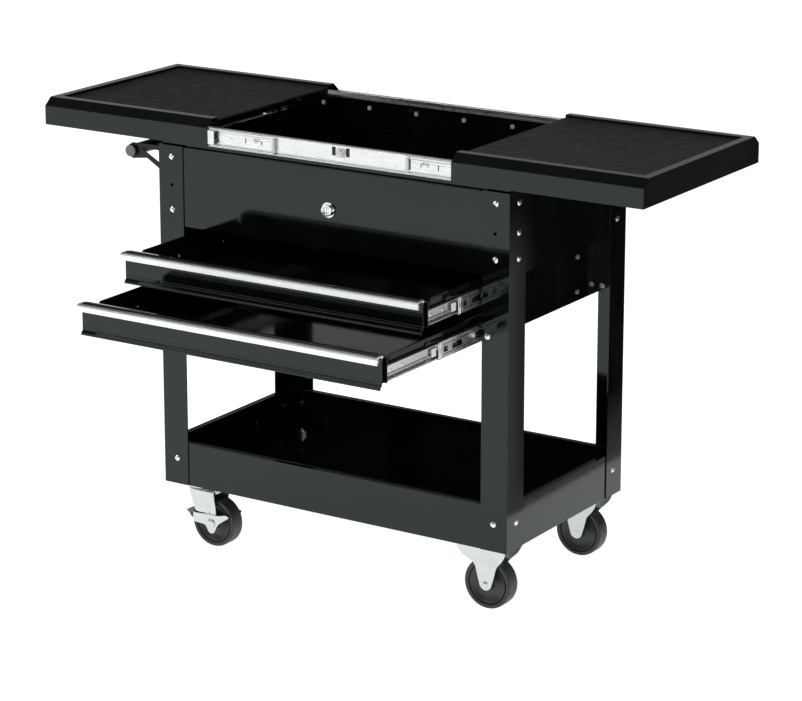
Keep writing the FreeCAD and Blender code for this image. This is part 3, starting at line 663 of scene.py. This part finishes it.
# middle member of a drawer slide in mm: its length, the collar's shell and the rows of balls
MEMBER_LEN = 380
COLLAR_IN, COLLAR_OUT = 14.8, 16.0
BALL_DEPTH, BALL_START, BALL_ROW, BALL_PITCH, BALLS = 6.6, 10.0, 13.7, 5.2, 8
BALL_R = 0.00055
# lips of the fixed rail: in from the bay plate, half length and half height
RAIL_LIP_X, RAIL_LIP_Y, RAIL_LIP_Z = 0.0092, 0.188, 0.0170


def slide_collar(tag, body, at):
    """Plated collar at the mouth of the middle member; at gives points on the slide."""
    bm = bmesh.new()
    for way in (-1, 1):
        add_box(bm, at(1.4, -1.0, way * COLLAR_IN), at(10.2, 6.4, way * COLLAR_OUT))
    for along in (-1.0, 4.4):
        add_box(bm, at(1.4, along, -COLLAR_OUT), at(3.0, along + 2.0, COLLAR_OUT))
    add_box(bm, at(1.5, 0.4, -4.0), at(2.6, 5.0, 4.0))
    finish_piece("slide_collar_" + tag, bm, BOLT, body, bevel=0.0005)


def ball_cage_end(tag, body, at):
    """End of the ball cage, seen in the mouth of the channel."""
    bm = bmesh.new()
    add_box(bm, at(5.2, -17.0, -7.4), at(7.8, -4.2, 7.4))
    add_box(bm, at(4.8, -15.0, -2.5), at(5.6, -6.0, 2.5))
    finish_piece("ball_cage_" + tag, bm, NYLON, body, bevel=0.0006)


def slide_balls(tag, body, at):
    bm = bmesh.new()
    for way in (-1, 1):
        for k in range(BALLS):
            place = Matrix.Translation(at(BALL_DEPTH, BALL_START + BALL_PITCH * k, way * BALL_ROW))
            bmesh.ops.create_icosphere(bm, subdivisions=2, radius=BALL_R, matrix=place)
    finish_piece("slide_balls_" + tag, bm, CHROME, body, smooth=80)


def slide_ribs(tag, body, at):
    """Pressed stiffening ribs and rolled lips along the middle member."""
    bm = bmesh.new()
    for depth, clear, dz, r in ((2.2, 12, 8.8, 0.0008), (10.4, 2, 15.1, 0.0006)):
        for up in (-dz, dz):
            add_tube(bm, [at(depth, clear, up), at(depth, MEMBER_LEN - clear, up)], r, 8)
    finish_piece("slide_ribs_" + tag, bm, BOLT, body, smooth=70)


def rail_lips(tag, s, zc):
    """Rolled lips of the fixed rail, on the bay plate."""
    x = s * (BAY_IN - RAIL_LIP_X)
    bm = bmesh.new()
    for z in (zc - RAIL_LIP_Z, zc + RAIL_LIP_Z):
        add_tube(bm, [(x, -RAIL_LIP_Y, z), (x, RAIL_LIP_Y, z)], 0.0007, 8)
    finish_piece("drawer_rail_lips_" + tag, bm, BOLT, "chest_frame", smooth=70)


def release_lever(tag, body, at):
    """Black release lever over the slide, on the drawer's wall."""
    wall = (BAY_IN - DRAWER_HX) / MM
    bm = bmesh.new()
    add_prism(bm, *([at(wall - out, a, b) for a, b in LEVER] for out in (0.3, 2.2)))
    finish_piece("release_lever_" + tag, bm, CLIP, body, bevel=0.0004)


def inner_member_pieces(tag, body, s, front, zc):
    """Pressed rib and rivets on the inner member."""
    x, z = s * (DRAWER_HX + 0.0014), zc - 0.0050
    bm = bmesh.new()
    add_tube(bm, [(x, front + 0.020, z), (x, front + 0.380, z)], 0.0015, 10)
    finish_piece("inner_rib_" + tag, bm, RAILZINC, body, smooth=60)
    bm = bmesh.new()
    for dy in (0.038, 0.076, 0.166):
        add_dome(bm, (s * (DRAWER_HX + 0.0012), front + dy, zc), 0.0030, 0.0012, "X", s)
    finish_piece("inner_rivets_" + tag, bm, BOLT, body, smooth=50)


def drawer_slide(name, side, s, z0, out):
    tag, body = "%s_%s" % (name, side), "drawer_" + name
    middle = body + "_middle"
    zc, mouth = z0 + SLIDE_H, SLIDE_Y - out / 2

    def at(depth, along, up):
        """Point from mm: depth in from the bay plate, along from the member's mouth, up from its middle."""
        return (s * (BAY_IN - depth * MM), mouth + along * MM, zc + up * MM)

    slide_collar(tag, middle, at)
    ball_cage_end(tag, body, at)
    slide_balls(tag, middle, at)
    slide_ribs(tag, middle, at)
    rail_lips(tag, s, zc)
    release_lever(tag, body, at)
    inner_member_pieces(tag, body, s, FACE_Y - out, zc)


for name, (z0, out) in DRAWERS.items():
    drawer_front(name, z0, FACE_Y - out)
    drawer_hems(name, z0, out)
    drawer_rivets(name, z0, FACE_Y - out)
    for side, s in SIDES:
        drawer_slide(name, side, s, z0, out)

# ---------------------------------------------------------------- lid slides
RAIL_Z, STAND_Y, WEB_Y, RAIL_HALF = 0.812, 0.203, 0.2066, 0.3775
LID_MIDDLE = {"left": (-0.510, -0.118), "right": (0.166, 0.510)}
CAGE_X, CAGE_Y = (-0.2645, -0.2576), (0.2085, 0.2143)


def lid_slide(side, end, sy):
    """Ribs, pale end, dark stops and rivets of one middle member."""
    tag, body = "%s_%s" % (side, end), "lid_%s_middle" % side
    xa, xb = LID_MIDDLE[side]
    tip, inward = (xb, -1) if side == "left" else (xa, 1)

    def at(along, out, up):
        """Point from mm: along from the member's tip, out from its web, up from its middle."""
        return (tip + inward * along * MM, sy * (WEB_Y + out * MM), RAIL_Z + up * MM)

    bm = bmesh.new()
    for dz in (-0.0098, -0.0052, 0.0052, 0.0098):
        y, z = sy * (WEB_Y - 0.0001), RAIL_Z + dz
        add_tube(bm, [(xa + 0.010, y, z), (xb - 0.010, y, z)], 0.00085, 8)
    finish_piece("lid_slide_ribs_" + tag, bm, RAILZINC, body, smooth=70)
    bm = bmesh.new()
    add_box(bm, at(0, -1.4, -11.5), at(5.2, 5.2, 11.5))
    finish_piece("lid_slide_end_" + tag, bm, NYLON, body, bevel=0.0010)
    bm = bmesh.new()
    add_box(bm, at(6.0, -0.2, -9.8), at(7.8, 1.0, 9.8))
    for along, half in ((30, 3.0), (66, 4.2)):
        add_box(bm, at(along - 0.9, -0.2, -half), at(along + 0.9, 0.6, half))
    finish_piece("lid_slide_stops_" + tag, bm, CLIP, body, bevel=0.0003)
    bm = bmesh.new()
    for along in (44, 98):
        add_dome(bm, at(along, 0, 0), 0.0026, 0.0010, "Y", sy)
    finish_piece("lid_slide_rivets_" + tag, bm, BOLT, body, smooth=50)


def lid_cage_end(end, sy):
    """Pale ends of the ball cage where the inner member stands out past the left lid."""
    bm = bmesh.new()
    for z in (RAIL_Z - 0.0092, RAIL_Z + 0.0092):
        add_box(bm, (CAGE_X[0], sy * CAGE_Y[0], z - 0.0022), (CAGE_X[1], sy * CAGE_Y[1], z + 0.0022))
    finish_piece("lid_slide_cage_" + end, bm, NYLON, "lid_left", bevel=0.0006)


for side in LID_MIDDLE:
    for end, sy in ENDS:
        lid_slide(side, end, sy)
for end, sy in ENDS:
    lid_cage_end(end, sy)


# ---------------------------------------------------------------- hems and beads of the frame
def frame_hems(end, sy):
    bm = bmesh.new()
    x_bead(bm, RAIL_HALF, sy * (STAND_Y - 0.0008), 0.8200, 0.0011)
    finish_piece("upstand_hem_" + end, bm, ENAMEL, "chest_frame", smooth=70)
    bm = bmesh.new()
    x_bead(bm, 0.322, sy * 0.2094, 0.7832, 0.0010)
    finish_piece("panel_hem_" + end, bm, ENAMEL, "chest_frame", smooth=70)
    bm = bmesh.new()
    for way in (-1, 1):
        x_bead(bm, RAIL_HALF, sy * 0.2128, RAIL_Z + way * 0.0169, 0.0006, 8)
    finish_piece("rail_lips_" + end, bm, RAILZINC, "chest_frame", smooth=70)


def rear_rail_bead():
    """Bright top bead of the rear rail, and the tabs behind its two slots."""
    bm = bmesh.new()
    x_bead(bm, 0.377, 0.2034, 0.8293, 0.0008, 8)
    for x in (0.009, 0.039):
        add_box(bm, (x - 0.006, 0.2043, 0.8165), (x + 0.006, 0.2051, 0.8255))
    finish_piece("rear_rail_bead", bm, BOLT, "chest_frame", smooth=60)


def tray_rim():
    x, y, z = 0.3672, 0.1970, 0.2080
    bm = bmesh.new()
    add_tube(bm, [(-x, -y, z), (x, -y, z), (x, y, z), (-x, y, z)], 0.0012, 10, closed=True)
    finish_piece("tray_rim_hem", bm, ENAMEL, "chest_frame", smooth=70)


for end, sy in ENDS:
    frame_hems(end, sy)
rear_rail_bead()
tray_rim()

# ---------------------------------------------------------------- kingpins, blind screws, lock face
KINGPIN = [(0, 12.5), (4.2, 12.3), (5.0, 11.4), (5.0, 6.0), (0, 6.0)]
BLIND_SCREW = [(0, 0.3), (2.3, 0.3), (2.7, 0.0), (3.0, 0.6), (3.7, 0.5), (4.0, 0.1), (3.1, -0.1),
               (3.1, -1.9), (0, -1.9)]
BEZEL = [(8.2, -0.4), (10.4, -0.2), (11.2, 0.6), (11.2, 2.0), (8.2, 2.0)]
FACE_RING = [(5.0, -0.5), (6.2, -0.3), (6.6, 0.3), (6.0, 0.6), (5.0, 0.5)]
BAY_HOLE_X, BAY_HOLE_Y, BAY_HOLE_Z = 0.337, 0.211, 0.507
LOCK_Z = 0.707


def kingpin_nuts():
    bm = bmesh.new()
    for sy in (-1, 1):
        place = (SWIVEL_X, sy * AXLE_Y, PLATE_TOP)
        add_nut(bm, place, 0.0085, 0.0075)
        add_cap_lathe(bm, in_metres(KINGPIN), place, "Z", 20)
    finish_piece("kingpin_nuts", bm, BOLT, "chest_frame", smooth=35)


def bay_blind_screws():
    """Dark screws that close the lower bolt holes of the drawer bay."""
    bm = bmesh.new()
    for sx in (-1, 1):
        for sy in (-1, 1):
            face = in_metres([(r, sy * a) for r, a in BLIND_SCREW])
            add_cap_lathe(bm, face, (sx * BAY_HOLE_X, sy * BAY_HOLE_Y, BAY_HOLE_Z), "Y", 28)
    finish_piece("bay_blind_screws", bm, CLIP, "chest_frame", smooth=35)


def lock_face():
    bm = bmesh.new()
    add_lathe(bm, in_metres(BEZEL), (0, -0.2172, LOCK_Z), "Y", 56)
    finish_piece("lock_bezel", bm, CHROME, "chest_frame", smooth=35)
    bm = bmesh.new()
    add_lathe(bm, in_metres(FACE_RING), (0, -0.2165, LOCK_Z), "Y", 48)
    finish_piece("lock_face_ring", bm, CHROME, "lock", smooth=35)


kingpin_nuts()
bay_blind_screws()
lock_face()


# ---------------------------------------------------------------- floor, light, camera
def pale_floor():
    bpy.ops.mesh.primitive_plane_add(size=60, location=(0, 0, 0))
    floor = bpy.context.object
    floor.name = "studio_floor"
    m = Mat("pale_floor").set(Roughness=0.6, Emission_Color=(1, 1, 1, 1), Emission_Strength=0.95)
    m.to("Base Color", m.mix(m.noise(0.7, 3), (0.86, 0.865, 0.865), (0.90, 0.90, 0.90)))
    floor.data.materials.append(m.m)


def studio_world():
    """White surroundings, bright at the horizon and dim above."""
    world = bpy.data.worlds.new("studio")
    bpy.context.scene.world = world
    world.use_nodes = True
    tree = world.node_tree
    background = tree.nodes["Background"]
    coord = tree.nodes.new("ShaderNodeTexCoord")
    split = tree.nodes.new("ShaderNodeSeparateXYZ")
    ramp = tree.nodes.new("ShaderNodeMapRange")
    for key, v in (("From Min", -0.02), ("From Max", 0.30), ("To Min", 0.85), ("To Max", 0.10)):
        ramp.inputs[key].default_value = v
    tree.links.new(coord.outputs["Generated"], split.inputs[0])
    tree.links.new(split.outputs["Z"], ramp.inputs["Value"])
    tree.links.new(ramp.outputs[0], background.inputs["Strength"])
    background.inputs["Color"].default_value = (1.0, 1.0, 1.0, 1)


def area_light(name, at, aim, size, power):
    light = bpy.data.lights.new(name, "AREA")
    light.shape = "RECTANGLE"
    light.size, light.size_y = size
    light.energy = power
    o = bpy.data.objects.new(name, light)
    bpy.context.scene.collection.objects.link(o)
    o.location = at
    o.rotation_mode = "QUATERNION"
    o.rotation_quaternion = (Vector(aim) - Vector(at)).to_track_quat("-Z", "Y")


def flag_black():
    """Black that glows a little: towards the chest's front below the lids, and along the floor."""
    m = Mat("flag_black").set(Roughness=1.0, Specular_IOR_Level=0.0, Base_Color=(0.001, 0.001, 0.001, 1),
                              Emission_Color=(1, 1, 1, 1))
    place = m.node("SeparateXYZ")
    m.link(m.node("NewGeometry").outputs["Position"], place.inputs[0])
    front = m.combine("MULTIPLY", m.ramp(place.outputs["Y"], 0.20, 0.36, 0.60, 0.0),
                      m.ramp(place.outputs["Z"], 0.50, 0.62, 1.0, 0.11))
    foot = m.ramp(place.outputs["Z"], 0.0, 0.16, 0.34, 0.0)
    m.to("Emission Strength", m.combine("MAXIMUM", front, foot))
    return m.m


FLAG = flag_black()
FLAG_X = 0.66


def add_flag(name, y0, y1, z0, z1):
    """Upright plane beside the right end, seen only in reflections, that keeps the glossy side dark."""
    bpy.ops.mesh.primitive_plane_add(size=1, location=(FLAG_X, (y0 + y1) / 2, (z0 + z1) / 2))
    flag = bpy.context.object
    flag.name = name
    flag.scale = (z1 - z0, y1 - y0, 1)
    flag.rotation_euler = (0, math.pi / 2, 0)
    flag.data.materials.append(FLAG)
    flag.visible_camera = False
    flag.visible_diffuse = False
    flag.visible_shadow = False


CAM_AT = (2.970, -4.568, 1.972)
CAM_AZ, CAM_EL = math.radians(32.85), math.radians(14.64)


def main_camera():
    data = bpy.data.cameras.new("camera")
    data.sensor_width = 36.0
    data.lens = 134.9
    data.shift_y = -0.10
    camera = bpy.data.objects.new("camera", data)
    bpy.context.scene.collection.objects.link(camera)
    bpy.context.scene.camera = camera
    back = Vector((math.sin(CAM_AZ) * math.cos(CAM_EL), -math.cos(CAM_AZ) * math.cos(CAM_EL),
                   math.sin(CAM_EL)))
    camera.location = CAM_AT
    camera.rotation_mode = "QUATERNION"
    camera.rotation_quaternion = (-back).to_track_quat("-Z", "Y")


bpy.context.scene.view_settings.view_transform = "Standard"
pale_floor()
studio_world()
area_light("key", (-2.2, -3.0, 3.4), (0, 0, 0.5), (2.4, 2.0), 60)
area_light("fill", (3.2, -2.2, 2.2), (0, 0, 0.5), (2.0, 2.0), 22)
area_light("top", (0.4, 0.3, 3.6), (0, 0, 0.8), (1.6, 1.6), 26)
add_flag("studio_flag", 0.0, 5.2, 0.0, 2.4)
add_flag("studio_flag_lid", -0.26, 0.0, 0.62, 2.4)
main_camera()
